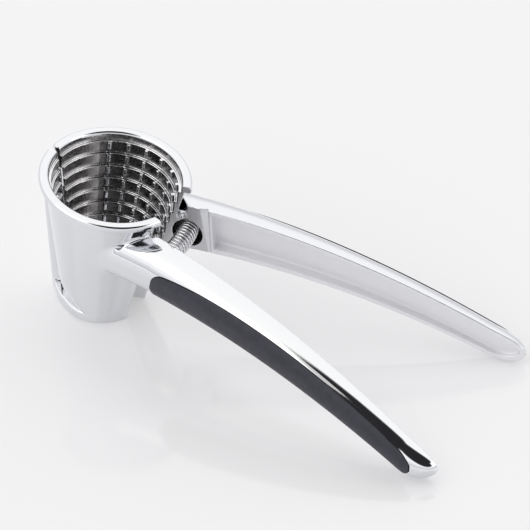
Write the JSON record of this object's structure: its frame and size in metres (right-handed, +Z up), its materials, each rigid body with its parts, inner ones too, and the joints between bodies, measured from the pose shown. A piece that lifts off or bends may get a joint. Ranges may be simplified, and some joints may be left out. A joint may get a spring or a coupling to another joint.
{
  "type": "nutcracker",
  "caption": "Cone-cup nutcracker: two chromed half cups with stepped, toothed insides, curved handles with dark grip inlays, an upright hinge pin and a return spring.",
  "frame": {"origin": "centre of the bounding box at floor level, tool standing open on its cup foot", "axes": "+X from the hinge pin to the handle tips, +Y toward the rear half, +Z up along the hinge pin"},
  "size_m": [0.1798, 0.0814, 0.0648],
  "materials": {
    "front_jaw": "polished chrome outside, matte as-cast on the joint side",
    "rear_jaw": "polished chrome outside, matte as-cast on the joint side",
    "hinge_pin": "plain steel",
    "return_spring": "bright wire",
    "front_grip": "fine matte",
    "rear_grip": "fine matte"
  },
  "bodies": {
    "front": {"front_jaw": "front_jaw", "hinge_pin": "hinge_pin", "front_grip": "front_grip", "return_spring": "return_spring"},
    "rear": {"rear_jaw": "rear_jaw", "rear_grip": "rear_grip"}
  },
  "joints": [
    {"name": "jaw_hinge", "type": "hinge", "parent": "front", "child": "rear", "pos_m": [-0.08624, 0, 0.03], "axis": [0, 0, -1], "range_deg": [0, 22], "stiffness_Nm_per_rad": 1.5, "deforming": ["return_spring"]}
  ]
}
